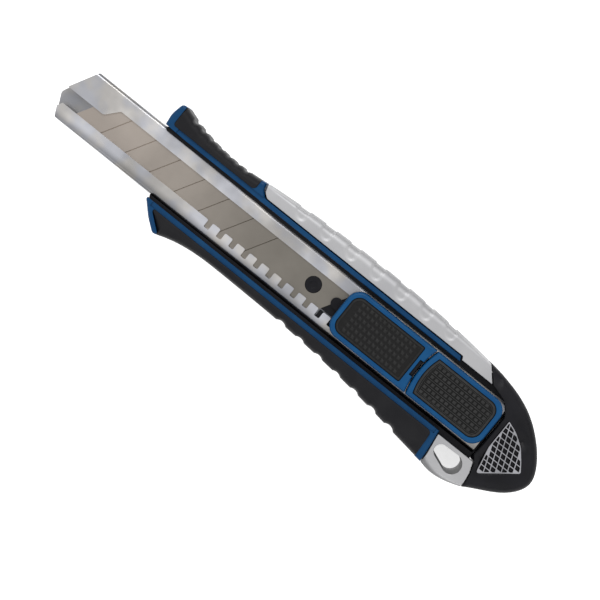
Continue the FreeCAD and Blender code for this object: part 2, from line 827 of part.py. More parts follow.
def end_cap():
    """Round-ended cap that closes the magazine. It is hollow, and pulls off along +X."""
    shoulder_x, shoulder_y = SHELL_SHOULDER
    seat_y = SHELL_HALF + GAP
    low_inner = [(77.7, -19.0, 4), (77.2, -15.5, 4), (76.1, -11.8, 0.5), (CAP_SEAT_X, -11.8, 0)]
    low_inner += [(CAP_SEAT_X, shoulder_y + GAP, 0), (shoulder_x + 0.2, seat_y, 0), (63.2, seat_y, 0)]
    high_inner = [(77.7, -19.0, 4), (77.2, -15.5, 4), (76.1, -12.1, 1), (74.6, -10.2, 0.5)]
    high_inner += [(74.6, 5.5, 3.5), (71.2, 9.3, 3), (65.3, 11.1, 0.5)]
    low = raise_face(cap_plan(low_inner), CAP_BOTTOM, RIM_TOP + 0.15)
    high = raise_face(cap_plan(high_inner), RIM_TOP + 0.15, CAP_TOP)
    cap = low.fuse(high).removeSplitter()

    def on_outside(point):
        return point.x > 79

    cap = soften(cap, CAP_TOP, 2.4, on_outside)
    cap = soften(cap, CAP_BOTTOM, 2.4, on_outside)
    hollow = prism(
        [(70, -9.5, 0), (79, -9.5, 0), (88.5, -9.0, 2), (90.5, -6, 2), (84, 2.5, 4), (77, 7.5, 2), (70, 7.5, 0)],
        3.0,
        CAP_TOP - 4.0,
    )
    cap = cap.cut(hollow)
    cap = cap.cut(prism(BADGE_PLAN, CAP_TOP - BADGE_DEPTH, CAP_TOP + 1))
    return only_solid(cap)


def cap_catch():
    """Steel spring clip on the cap: its tongue presses up in the magazine's mouth."""
    tongue = box(62, 79, -4, 4, 7.7, 8.1)
    bead = Part.makeCylinder(0.45, 6, V(65, -3, 8.1), V(0, 1, 0))
    tongue = tongue.fuse(bead.common(box(60, 70, -4, 4, 8.0, 9)))
    foot = box(78.6, 79, -4, 4, 3.0, 8.1)
    return only_solid(tongue.fuse(foot))


def scaled_badge(shrink):
    """Badge outline moved in from the recess by about the given gap."""
    centre_x = sum(x for x, _, _ in BADGE_PLAN) / len(BADGE_PLAN)
    centre_y = sum(y for _, y, _ in BADGE_PLAN) / len(BADGE_PLAN)
    factor = 1 - shrink / 5.0
    return [
        (centre_x + (x - centre_x) * factor, centre_y + (y - centre_y) * factor, r * factor)
        for x, y, r in BADGE_PLAN
    ]


def badge_base():
    return prism(scaled_badge(0.05), CAP_TOP - BADGE_DEPTH, BADGE_GROUND_Z)


def badge_mesh():
    """Thin lattice plate over the badge's dark ground: a border, level bars and slanted bars."""
    high = CAP_TOP + 0.05
    plate = prism(scaled_badge(0.05), BADGE_GROUND_Z, high)
    window = prism(scaled_badge(0.5), BADGE_GROUND_Z - 1, high + 1)
    half = BADGE_BAR / 2
    bars = []
    for i in range(10):
        y = 3.05 - BADGE_ROW_PITCH * i
        bars.append(box(70, 95, y - half, y + half, BADGE_GROUND_Z, high))
    for i in range(12):
        x = 69.5 + BADGE_COLUMN_PITCH * i
        top = x - 6 * BADGE_LEAN
        foot = x + 16 * BADGE_LEAN
        corners = [(foot - half, -16, 0), (foot + half, -16, 0), (top + half, 6, 0), (top - half, 6, 0)]
        bars.append(prism(corners, BADGE_GROUND_Z, high))
    lattice = bars[0].fuse(bars[1:]).common(window)
    return only_solid(plate.cut(window).fuse(lattice))


PARTS = {
    "blade_guide": blade_guide,
    "blade": blade,
    "spare_blades": spare_blades,
    "blade_carrier": blade_carrier,
    "blade_peg": blade_peg,
    "lock_pawl": lock_pawl,
    "pawl_spring": pawl_spring,
    "slide_frame": slide_frame,
    "slide_pad": slide_pad,
    "slide_latch": slide_latch,
    "button_frame": button_frame,
    "button_pad": button_pad,
    "button_base": button_base,
    "button_spring": button_spring,
    "guide_rivets": guide_rivets,
    "front_shell": front_shell,
    "back_shell": back_shell,
    "shell_screws": shell_screws,
    "magazine_tray": magazine_tray,
    "magazine_spring": magazine_spring,
    "upper_grip_base": upper_grip_base,
    "upper_grip_pad": upper_grip_pad,
    "lower_grip_base": lower_grip_base,
    "lower_grip_pad": lower_grip_pad,
    "spine_cover": spine_cover,
    "lanyard_bracket": lanyard_bracket,
    "end_cap": end_cap,
    "cap_catch": cap_catch,
    "badge_base": badge_base,
    "badge_mesh": badge_mesh,
}


def main():
    os.makedirs("parts", exist_ok=True)
    shapes = {}
    for name, make in PARTS.items():
        shapes[name] = make()
        solids = shapes[name].Solids
        print(name, len(solids), "solid", round(shapes[name].Volume, 1), shapes[name].isValid())
    whole = Part.makeCompound(list(shapes.values())).optimalBoundingBox(False)
    print("size", round(whole.XLength, 2), round(whole.YLength, 2), round(whole.ZLength, 2))
    to_origin = V(-whole.Center.x, -whole.Center.y, -whole.ZMin)
    print("moved by", to_origin)
    for name, shape in shapes.items():
        shape.translate(to_origin)
        shape.exportStep(os.path.join("parts", name + ".step"))


main()
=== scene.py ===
import json
import math

import bmesh
import bpy
from mathutils import Matrix, Vector


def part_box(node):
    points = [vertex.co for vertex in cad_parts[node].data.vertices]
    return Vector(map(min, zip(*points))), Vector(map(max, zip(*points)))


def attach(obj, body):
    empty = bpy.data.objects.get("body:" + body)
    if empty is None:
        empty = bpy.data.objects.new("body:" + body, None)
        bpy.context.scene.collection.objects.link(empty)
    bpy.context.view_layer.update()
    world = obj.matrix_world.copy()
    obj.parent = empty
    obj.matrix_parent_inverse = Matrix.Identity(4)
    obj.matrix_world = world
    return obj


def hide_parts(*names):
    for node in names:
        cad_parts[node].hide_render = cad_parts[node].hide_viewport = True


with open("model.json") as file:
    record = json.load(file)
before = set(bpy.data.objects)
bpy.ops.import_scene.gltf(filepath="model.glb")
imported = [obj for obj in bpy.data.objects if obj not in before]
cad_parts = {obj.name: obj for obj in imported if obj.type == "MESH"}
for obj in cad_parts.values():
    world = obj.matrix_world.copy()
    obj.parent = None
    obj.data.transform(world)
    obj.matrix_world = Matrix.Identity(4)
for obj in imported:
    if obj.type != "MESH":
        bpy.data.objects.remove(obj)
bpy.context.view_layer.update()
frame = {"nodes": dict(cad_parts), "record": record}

MM = 0.001
scene = bpy.context.scene

# Shapes are in millimetres from the knife's own zero: X from a point near the middle of the
# handle, Y from the guide's centre line and Z from the table. Materials and lights are in metres.
NOSE_TO_ZERO = 101.8
GUIDE_LOW, GUIDE_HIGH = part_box("blade_guide")
ZERO = Vector((GUIDE_LOW.x + NOSE_TO_ZERO * MM, (GUIDE_LOW.y + GUIDE_HIGH.y) / 2, 0))


def box_mm(node):
    """A CAD node's lowest and highest corner in the knife's own millimetres."""
    return [(corner - ZERO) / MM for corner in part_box(node)]


# ---- camera, floor and light ---------------------------------------------------------------------

ROLL = math.radians(38.8)
TILT = math.radians(3.0)
DISTANCE = 0.70
VIEW_WIDTH = 0.1923
AIM_ACROSS = -0.00654
LOOK_AT = ZERO + Vector((0, AIM_ACROSS, GUIDE_HIGH.z))

# Each stop is a height, 0 straight below, 0.5 at the horizon and 1 straight above, and a level.
SKY_STOPS = [
    (0.0, 0.1),
    (0.5, 0.12),
    (0.62, 0.5),
    (0.8, 1.15),
    (0.93, 0.9),
    (0.985, 0.6),
    (1.0, 0.58),
]
FLOOR_HALF = 1.5
FLOOR_BRIGHT_TO = 0.16
FLOOR_DARK_FROM = 0.4
FLOOR_GLOW = 0.7


def add_camera():
    """Looks down, leaning a little to the spine's side, and turned so the tip is upper left."""
    back = Vector((0, math.sin(TILT), math.cos(TILT)))
    up = back.cross(Vector((math.cos(ROLL), math.sin(ROLL), 0))).normalized()
    right = up.cross(back).normalized()
    data = bpy.data.cameras.new("camera")
    data.sensor_fit = "HORIZONTAL"
    data.angle = 2 * math.atan(VIEW_WIDTH / 2 / DISTANCE)
    data.clip_start = 0.01
    data.clip_end = 10
    camera = bpy.data.objects.new("camera", data)
    turn = Matrix((right, up, back)).transposed().to_4x4()
    camera.matrix_world = Matrix.Translation(LOOK_AT + back * DISTANCE) @ turn
    scene.collection.objects.link(camera)
    scene.camera = camera


def add_light(name, place, side, power):
    """A square area light that faces the middle of the table."""
    data = bpy.data.lights.new(name, "AREA")
    data.shape = "RECTANGLE"
    data.size = data.size_y = side
    data.energy = power
    light = bpy.data.objects.new(name, data)
    light.location = place
    light.rotation_euler = (-Vector(place)).to_track_quat("-Z", "Y").to_euler()
    scene.collection.objects.link(light)


def add_world():
    """A studio round the table: greyer straight above, brightest at 37 degrees, dark below."""
    world = bpy.data.worlds.new("tent")
    scene.world = world
    world.use_nodes = True
    nodes, links = world.node_tree.nodes, world.node_tree.links
    coords = nodes.new("ShaderNodeTexCoord")
    split = nodes.new("ShaderNodeSeparateXYZ")
    ramp = nodes.new("ShaderNodeValToRGB")
    height = nodes.new("ShaderNodeMapRange")
    height.inputs["From Min"].default_value = -1
    links.new(coords.outputs["Generated"], split.inputs[0])
    links.new(split.outputs["Z"], height.inputs["Value"])
    links.new(height.outputs["Result"], ramp.inputs["Fac"])
    ramp.color_ramp.interpolation = "EASE"
    elements = ramp.color_ramp.elements
    while len(elements) < len(SKY_STOPS):
        elements.new(0.5)
    for element, (at, level) in zip(elements, SKY_STOPS):
        element.position = at
        element.color = grey(level)
    links.new(ramp.outputs["Color"], nodes["Background"].inputs["Color"])


def add_floor():
    """A table that glows white round the knife, so that hardly any shadow shows."""
    mesh = bpy.data.meshes.new("floor")
    half = FLOOR_HALF
    corners = [(-half, -half, 0), (half, -half, 0), (half, half, 0), (-half, half, 0)]
    mesh.from_pydata(corners, [], [(0, 1, 2, 3)])
    floor = bpy.data.objects.new("floor", mesh)
    scene.collection.objects.link(floor)
    material, nodes, links, shader = new_material("floor")
    coords = nodes.new("ShaderNodeTexCoord")
    length = nodes.new("ShaderNodeVectorMath")
    length.operation = "LENGTH"
    links.new(coords.outputs["Object"], length.inputs[0])
    far = spread(nodes, links, length.outputs["Value"], 0, 1, FLOOR_BRIGHT_TO, FLOOR_DARK_FROM)
    base = blend_colours(nodes, links, far, grey(0.95), grey(0.12))
    links.new(base, shader.inputs["Base Color"])
    glow = blend_colours(nodes, links, far, grey(1), grey(0))
    links.new(glow, shader.inputs["Emission Color"])
    shader.inputs["Emission Strength"].default_value = FLOOR_GLOW
    shader.inputs["Roughness"].default_value = 0.95
    shader.inputs["Specular IOR Level"].default_value = 0.2
    mesh.materials.append(material)


# ---- materials -----------------------------------------------------------------------------------

GUIDE_COOL, GUIDE_WARM = (0.66, 0.67, 0.72, 1), (0.75, 0.725, 0.70, 1)
# Painted shade on the guide's long folded edges, from plain to darkest between each pair of
# distances from the centre line, in metres.
GUIDE_SHADED_EDGES = [(0.0089, 0.0095), (-0.0066, -0.0101)]
GUIDE_EDGE_SHADE = 0.4
# Painted shade on the channel's floor: darkest at the floor, plain from the channel's top, in
# metres.
CHANNEL_FLOOR, CHANNEL_TOP = 0.0105, 0.0134
CHANNEL_SHADE = 0.68
FOLD_DEPTH = 0.00022
# Painted reflection on the blade: a lighter colour at the front, a darker one at the rear.
BLADE_REFLECTION_FRONT, BLADE_REFLECTION_REAR = (0.52, 0.46, 0.41, 1), (0.27, 0.25, 0.22, 1)
BLADE_FRONT_X, BLADE_REAR_X = -0.095, 0.004
SILVER_LOW, SILVER_HIGH = (0.48, 0.48, 0.495, 1), (0.54, 0.54, 0.55, 1)
FINE_GRAIN = 0.00002
GRIT_DEPTH = 0.00003


def new_material(name):
    material = bpy.data.materials.new(name)
    material.use_nodes = True
    nodes, links = material.node_tree.nodes, material.node_tree.links
    return material, nodes, links, nodes["Principled BSDF"]


def grey(level):
    return (level, level, level, 1)


def noise(nodes, links, scale, detail=3.0, roughness=0.55, stretch=None):
    """Noise over the knife's own axes in metres; stretch scales the three axes."""
    coords = nodes.new("ShaderNodeTexCoord")
    texture = nodes.new("ShaderNodeTexNoise")
    texture.inputs["Scale"].default_value = scale
    texture.inputs["Detail"].default_value = detail
    texture.inputs["Roughness"].default_value = roughness
    source = coords.outputs["Object"]
    if stretch is not None:
        mapping = nodes.new("ShaderNodeMapping")
        mapping.inputs["Scale"].default_value = stretch
        links.new(source, mapping.inputs["Vector"])
        source = mapping.outputs["Vector"]
    links.new(source, texture.inputs["Vector"])
    return texture.outputs["Fac"]


def along(nodes, links, axis):
    """The position along one of the frame's axes at rest, in metres."""
    coords = nodes.new("ShaderNodeTexCoord")
    split = nodes.new("ShaderNodeSeparateXYZ")
    links.new(coords.outputs["Object"], split.inputs[0])
    return split.outputs[axis]


def spread(nodes, links, value, low, high, start=0.3, end=0.7):
    """Maps start..end to low..high, and holds it there beyond them."""
    node = nodes.new("ShaderNodeMapRange")
    node.interpolation_type = "SMOOTHSTEP"
    node.inputs["From Min"].default_value = start
    node.inputs["From Max"].default_value = end
    node.inputs["To Min"].default_value = low
    node.inputs["To Max"].default_value = high
    links.new(value, node.inputs["Value"])
    return node.outputs["Result"]


def product(nodes, links, first, second):
    node = nodes.new("ShaderNodeMath")
    node.operation = "MULTIPLY"
    links.new(first, node.inputs[0])
    links.new(second, node.inputs[1])
    return node.outputs[0]


def blend_colours(nodes, links, share, first, second, how="MIX"):
    """Mixes two colours; each is a colour or another node's output."""
    node = nodes.new("ShaderNodeMix")
    node.data_type = "RGBA"
    node.blend_type = how
    for socket, colour in ((node.inputs[6], first), (node.inputs[7], second)):
        if isinstance(colour, tuple):
            socket.default_value = colour
        else:
            links.new(colour, socket)
    if isinstance(share, float):
        node.inputs[0].default_value = share
    else:
        links.new(share, node.inputs[0])
    return node.outputs[2]


def toned(nodes, links, colour, share, low, high):
    """Multiplies a colour by a grey that goes from low to high with the share."""
    tone = blend_colours(nodes, links, share, grey(low), grey(high))
    return blend_colours(nodes, links, 1.0, colour, tone, "MULTIPLY")


def add_bump(nodes, links, shader, layers):
    """Stacks bumps; each layer is a height, its distance in metres and its strength."""
    normal = None
    for height, distance, strength in layers:
        bump = nodes.new("ShaderNodeBump")
        bump.inputs["Distance"].default_value = distance
        bump.inputs["Strength"].default_value = strength
        links.new(height, bump.inputs["Height"])
        if normal is not None:
            links.new(normal, bump.inputs["Normal"])
        normal = bump.outputs["Normal"]
    links.new(normal, shader.inputs["Normal"])


def make_guide_steel():
    """Rolled stainless sheet: soft cloudy reflections, warm and cool, over a lengthwise grain.

    Painted shade darkens the long edges and the channel's floor. Behind the nose bump shades the
    folds.
    """
    material, nodes, links, shader = new_material("guide_steel")
    shader.inputs["Metallic"].default_value = 1.0
    warm = spread(nodes, links, noise(nodes, links, 110, 2, 0.5), 0, 1, 0.38, 0.62)
    clouds = spread(nodes, links, noise(nodes, links, 70, 3, 0.5), 0, 1, 0.35, 0.65)
    colour = blend_colours(nodes, links, warm, GUIDE_COOL, GUIDE_WARM)
    colour = toned(nodes, links, colour, clouds, 0.8, 1.1)
    y = along(nodes, links, "Y")
    # Painted shade darkens the long folded edges.
    for start, end in GUIDE_SHADED_EDGES:
        edge_shade = spread(nodes, links, y, 0, 1, ZERO.y + start, ZERO.y + end)
        colour = toned(nodes, links, colour, edge_shade, 1, GUIDE_EDGE_SHADE)
    # Painted shade darkens the channel's floor, a recess.
    height = spread(nodes, links, along(nodes, links, "Z"), 0, 1, CHANNEL_FLOOR, CHANNEL_TOP)
    colour = toned(nodes, links, colour, height, CHANNEL_SHADE, 1)
    links.new(colour, shader.inputs["Base Color"])
    gloss = spread(nodes, links, noise(nodes, links, 60), 0.26, 0.4)
    links.new(gloss, shader.inputs["Roughness"])
    waves = noise(nodes, links, 95, 1, 0.4)
    grain = noise(nodes, links, 1200, 2, 0.6, (0.05, 1, 1))
    rear = spread(nodes, links, along(nodes, links, "X"), 0, 1, ZERO.x - 0.055, ZERO.x - 0.02)
    upper = spread(nodes, links, y, 1, 0, ZERO.y + 0.0080, ZERO.y + 0.0092)
    lower = spread(nodes, links, y, 0, 1, ZERO.y - 0.0100, ZERO.y - 0.0084)
    layers = [(waves, 0.0009, 0.6), (grain, FINE_GRAIN, 0.4)]
    layers += [(product(nodes, links, rear, fold), FOLD_DEPTH, 1.0) for fold in (upper, lower)]
    add_bump(nodes, links, shader, layers)
    return material


def make_blade_steel():
    """Ground carbon steel: warm grey, with a painted reflection that lightens it towards the tip,
    and grinding lines across it.
    """
    material, nodes, links, shader = new_material("blade_steel")
    shader.inputs["Metallic"].default_value = 1.0
    x = along(nodes, links, "X")
    # Painted reflection: lighter towards the tip, darker towards the rear.
    run = spread(nodes, links, x, 0, 1, BLADE_FRONT_X, BLADE_REAR_X)
    clouds = spread(nodes, links, noise(nodes, links, 55, 3), 0, 1)
    colour = blend_colours(nodes, links, run, BLADE_REFLECTION_FRONT, BLADE_REFLECTION_REAR)
    links.new(toned(nodes, links, colour, clouds, 0.9, 1.08), shader.inputs["Base Color"])
    shader.inputs["Roughness"].default_value = 0.36
    grain = noise(nodes, links, 1500, 3, 0.6, (1, 0.05, 1))
    add_bump(nodes, links, shader, [(grain, FINE_GRAIN, 0.5)])
    return material


def make_spring_steel():
    """Plain grey steel of the springs, screws and rivets."""
    material, nodes, links, shader = new_material("spring_steel")
    shader.inputs["Metallic"].default_value = 1.0
    clouds = noise(nodes, links, 300)
    share = spread(nodes, links, clouds, 0, 1)
    colour = blend_colours(nodes, links, share, grey(0.32), grey(0.5))
    links.new(colour, shader.inputs["Base Color"])
    links.new(spread(nodes, links, clouds, 0.28, 0.42), shader.inputs["Roughness"])
    return material


def make_silver(name, shaded_to, unshaded_from, flank):
    """Satin blasted light metal with painted shade down its flanks, between two heights in metres.
    """
    material, nodes, links, shader = new_material(name)
    shader.inputs["Metallic"].default_value = 0.75
    share = spread(nodes, links, noise(nodes, links, 60), 0, 1)
    colour = blend_colours(nodes, links, share, SILVER_LOW, SILVER_HIGH)
    # Painted shade: darker down the flanks, to the flank tone at the lower height.
    height = spread(nodes, links, along(nodes, links, "Z"), 0, 1, shaded_to, unshaded_from)
    links.new(toned(nodes, links, colour, height, flank, 1), shader.inputs["Base Color"])
    shader.inputs["Roughness"].default_value = 0.48
    grit = noise(nodes, links, 3500, 2, 0.6)
    add_bump(nodes, links, shader, [(grit, GRIT_DEPTH, 0.35)])
    return material


def make_moulded(name, low, high, rough, specular, grains, edge=None):
    """Moulded plastic or rubber with slight colour drift and fine textures.

    A grain is a scale and a depth. An edge is painted shade along rounded edges: the height in
    metres that is darkest, the height from where the colour is plain, and the tone at the darkest.
    """
    material, nodes, links, shader = new_material(name)
    clouds = noise(nodes, links, 140, 4)
    colour = blend_colours(nodes, links, spread(nodes, links, clouds, 0, 1), low, high)
    # Painted shade along the rounded edges.
    if edge is not None:
        edge_shaded_to, edge_unshaded_from, tone = edge
        height = spread(nodes, links, along(nodes, links, "Z"), 0, 1, edge_shaded_to, edge_unshaded_from)
        colour = toned(nodes, links, colour, height, tone, 1)
    links.new(colour, shader.inputs["Base Color"])
    links.new(spread(nodes, links, clouds, rough - 0.05, rough + 0.05), shader.inputs["Roughness"])
    shader.inputs["Specular IOR Level"].default_value = specular
    layers = [(noise(nodes, links, scale, 3, 0.65), depth, 0.5) for scale, depth in grains]
    add_bump(nodes, links, shader, layers)
    return material


MATERIALS = {
    "steel_guide": make_guide_steel(),
    "steel_blade": make_blade_steel(),
    "spring_steel": make_spring_steel(),
    # Painted shade down the spine cover's flanks.
    "silver_metal": make_silver("silver_metal", shaded_to=0.0165, unshaded_from=0.0181, flank=0.6),
    "blue_plastic": make_moulded(
        "blue_plastic",
        low=(0.002, 0.062, 0.185, 1),
        high=(0.004, 0.078, 0.215, 1),
        rough=0.36,
        specular=0.2,
        grains=[(2600, 0.00002)],
        # Painted shade along the frames' rounded edges.
        edge=(0.0190, 0.0199, 0.7),
    ),
    "black_plastic": make_moulded(
        "black_plastic",
        low=(0.006, 0.006, 0.008, 1),
        high=(0.009, 0.009, 0.012, 1),
        rough=0.42,
        specular=0.19,
        grains=[(2400, 0.00003)],
    ),
    "black_rubber": make_moulded(
        "black_rubber",
        low=(0.008, 0.008, 0.010, 1),
        high=(0.012, 0.012, 0.014, 1),
        rough=0.52,
        specular=0.2,
        grains=[(1500, 0.00005), (5000, 0.00002)],
    ),
    "grey_plastic": make_moulded(
        "grey_plastic",
        low=(0.27, 0.27, 0.29, 1),
        high=(0.42, 0.42, 0.45, 1),
        rough=0.4,
        specular=0.4,
        grains=[(2500, 0.00003)],
    ),
}


def make_pad_rubber(name, ground, top, dark, light):
    """Pad rubber: lighter tops over gaps darkened with painted shade, by height in millimetres."""
    material, nodes, links, shader = new_material(name)
    # Painted shade: the gaps are darker than the tops.
    share = spread(nodes, links, along(nodes, links, "Z"), 0, 1, ground * MM, top * MM)
    clouds = spread(nodes, links, noise(nodes, links, 900, 3), 0, 1)
    colour = blend_colours(nodes, links, share, grey(dark), grey(light))
    links.new(toned(nodes, links, colour, clouds, 0.8, 1.2), shader.inputs["Base Color"])
    shader.inputs["Roughness"].default_value = 0.5
    shader.inputs["Specular IOR Level"].default_value = 0.25
    grit = noise(nodes, links, 2500, 3, 0.65)
    add_bump(nodes, links, shader, [(grit, GRIT_DEPTH, 0.5)])
    return material


def paint_cad_nodes():
    """Each CAD node keeps its shape and takes the finish of its slot in the record."""
    for entry in frame["record"]["subparts"]:
        node = frame["nodes"][entry["node"]]
        node.data.materials.clear()
        node.data.materials.append(MATERIALS[entry["material_slot"]])


# ---- shapes --------------------------------------------------------------------------------------

CORNER_STEPS = 8
FILLET_STEPS = 5
CUT_TOLERANCE = 1e-5
FIELD = 1  # material index that marks a plate's field while it is being shaped
X_AXIS, Y_AXIS = Vector((1, 0, 0)), Vector((0, 1, 0))


def add_piece(name, bm, body, nodes, slot, sharp=35, material=None):
    """Turns a mesh in the knife's own millimetres into a finished piece.

    Edges that bend more than sharp degrees are drawn sharp.
    """
    bmesh.ops.recalc_face_normals(bm, faces=bm.faces)
    mesh = bpy.data.meshes.new(name)
    bm.to_mesh(mesh)
    bm.free()
    mesh.transform(Matrix.Translation(ZERO) @ Matrix.Scale(MM, 4))
    mesh.polygons.foreach_set("use_smooth", [True] * len(mesh.polygons))
    mesh.set_sharp_from_angle(angle=math.radians(sharp))
    mesh.materials.append(material or MATERIALS[slot])
    piece = bpy.data.objects.new(name, mesh)
    scene.collection.objects.link(piece)
    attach(piece, body)
    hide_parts(*nodes)
    return piece


def mesh_mm(node):
    """A copy of a CAD node's mesh in the knife's own millimetres."""
    bm = bmesh.new()
    bm.from_mesh(frame["nodes"][node].data)
    to_mm = Matrix.Scale(1 / MM, 4) @ Matrix.Translation(-ZERO)
    bmesh.ops.transform(bm, matrix=to_mm, verts=bm.verts)
    return bm


def join_rings(bm, first, second):
    """A band of four-sided faces between two rings of as many points."""
    for i in range(len(second)):
        j = (i + 1) % len(second)
        bm.faces.new((first[i], first[j], second[j], second[i]))


def rounded(corners):
    """Anticlockwise points round (x, y, radius) corners."""
    points = []
    count = len(corners)
    for i, (x, y, radius) in enumerate(corners):
        here = Vector((x, y))
        if radius == 0:
            points.append(here)
            continue
        before = (Vector(corners[i - 1][:2]) - here).normalized()
        after = (Vector(corners[(i + 1) % count][:2]) - here).normalized()
        half = before.angle(after) / 2
        centre = here + (before + after).normalized() * (radius / math.sin(half))
        start = here + before * (radius / math.tan(half)) - centre
        end = here + after * (radius / math.tan(half)) - centre
        sweep = start.angle_signed(end)
        for k in range(CORNER_STEPS + 1):
            angle = -sweep * k / CORNER_STEPS
            cos, sin = math.cos(angle), math.sin(angle)
            turned = Vector((start.x * cos - start.y * sin, start.x * sin + start.y * cos))
            points.append(centre + turned)
    return points


def ringed_plate(ring_at, profile):
    """A closed plate: a ring of points at each (inset, z), from the foot to the field's edge."""
    bm = bmesh.new()
    last = None
    for inset, z in profile:
        ring = [bm.verts.new((p.x, p.y, z)) for p in ring_at(inset)]
        if last is None:
            bm.faces.new(list(reversed(ring)))
        else:
            join_rings(bm, last, ring)
        last = ring
    bm.faces.new(last).material_index = FIELD
    return bm, set(last)


def cut_field(bm, origin, normal):
    """Splits the field's faces along one upright plane."""
    faces = [f for f in bm.faces if f.material_index == FIELD]
    region = set(faces)
    for face in faces:
        region.update(face.edges)
        region.update(face.verts)
    bmesh.ops.bisect_plane(
        bm, geom=list(region), dist=CUT_TOLERANCE, plane_co=origin, plane_no=normal
    )


def cut_beside(bm, axis, centres, offsets):
    """Splits the field across an axis at every offset from every centre."""
    for centre in centres:
        for offset in offsets:
            cut_field(bm, axis * (centre + offset), axis)


def raise_field(bm, rim, relief):
    """Moves the field's points up by relief(x, y), and leaves its edge where it is."""
    moved = set()
    for face in bm.faces:
        if face.material_index == FIELD:
            moved.update(face.verts)
            face.material_index = 0
    for vert in moved - rim:
        vert.co.z += relief(vert.co.x, vert.co.y)


def inside(point, ring):
    """Whether a point lies in a convex anticlockwise ring."""
    for i, here in enumerate(ring):
        edge = here - ring[i - 1]
        if edge.x * (point[1] - here.y) - edge.y * (point[0] - here.x) < 0:
            return False
    return True


def fillet_profile(low, high, radius):
    """Foot, wall and rounded edge of a plate."""
    profile = [(0, low)]
    for k in range(FILLET_STEPS + 1):
        angle = math.pi / 2 * k / FILLET_STEPS
        inset = radius * (1 - math.cos(angle))
        profile.append((inset, high - radius * (1 - math.sin(angle))))
    return profile


def smoothstep(value):
    value = min(max(value, 0), 1)
    return value * value * (3 - 2 * value)


# ---- the two thumb pads --------------------------------------------------------------------------

PAD_FILLET = 0.6
LEAST_RADIUS = 0.05

DOT_COLUMNS = [16.9 + 1.73 * i for i in range(13)]
DOT_ROWS = [-5.0 + 2.0 * i for i in range(6)]
DOT_HALF = 0.64
DOT_CUTS = (-DOT_HALF, -0.44, -0.16, 0.16, 0.44, DOT_HALF)
DOT_HEIGHT = 0.25

STUD_COLUMNS = [48.1 + 1.75 * i for i in range(13)]
STUD_ROW_PITCH = 1.93
STUD_ROWS = [STUD_ROW_PITCH * (i - 2.5) for i in range(6)]
STUD_HALF_X, STUD_HALF_Y = 0.6, 0.5
STUD_CUTS_X = (-0.7, -0.58, 0.58, 0.7)
STUD_CUTS_Y = (-0.6, -0.49, 0.49, 0.6)
STUD_HEIGHT = 0.17
RIB_ROWS = [STUD_ROW_PITCH * (i - 2) for i in range(5)]
RIB_HALF = 0.12
RIB_CUTS = (-0.2, -0.09, 0.09, 0.2)
RIB_FRONT, RIB_REAR = 47.3, 69.95
RIB_HEIGHT = 0.29
BUTTON_BULGE = 1.25
BULGE_STEPS = 8


def add_slide_pad():
    """Front pad: six rows of thirteen soft bumps inside a smooth border."""
    low, high = box_mm("slide_pad")
    ground = high.z - 0.26
    border = high.z - 0.14

    def ring_at(inset):
        rear, front = max(0.7 - inset, LEAST_RADIUS), max(3.35 - inset, LEAST_RADIUS)
        left, right, side = low.x + inset, high.x - inset, high.y - inset
        corners = [(right, side, rear), (left, side, front)]
        return rounded(corners + [(left, -side, front), (right, -side, rear)])

    profile = fillet_profile(low.z, border, PAD_FILLET)
    profile += [(0.92, border), (1.05, ground), (1.12, ground)]
    bm, rim = ringed_plate(ring_at, profile)
    cut_beside(bm, X_AXIS, DOT_COLUMNS, DOT_CUTS)
    cut_beside(bm, Y_AXIS, DOT_ROWS, DOT_CUTS)

    def relief(x, y):
        across = min(abs(x - c) for c in DOT_COLUMNS) / DOT_HALF
        down = min(abs(y - r) for r in DOT_ROWS) / DOT_HALF
        return DOT_HEIGHT * math.sqrt(max(0, 1 - across**3 - down**3))

    raise_field(bm, rim, relief)
    rubber = make_pad_rubber("thumb_pad_rubber", high.z - 0.27, high.z - 0.08, 0.005, 0.017)
    return add_piece("thumb_pad", bm, "slide", ["slide_pad"], "black_rubber", material=rubber)


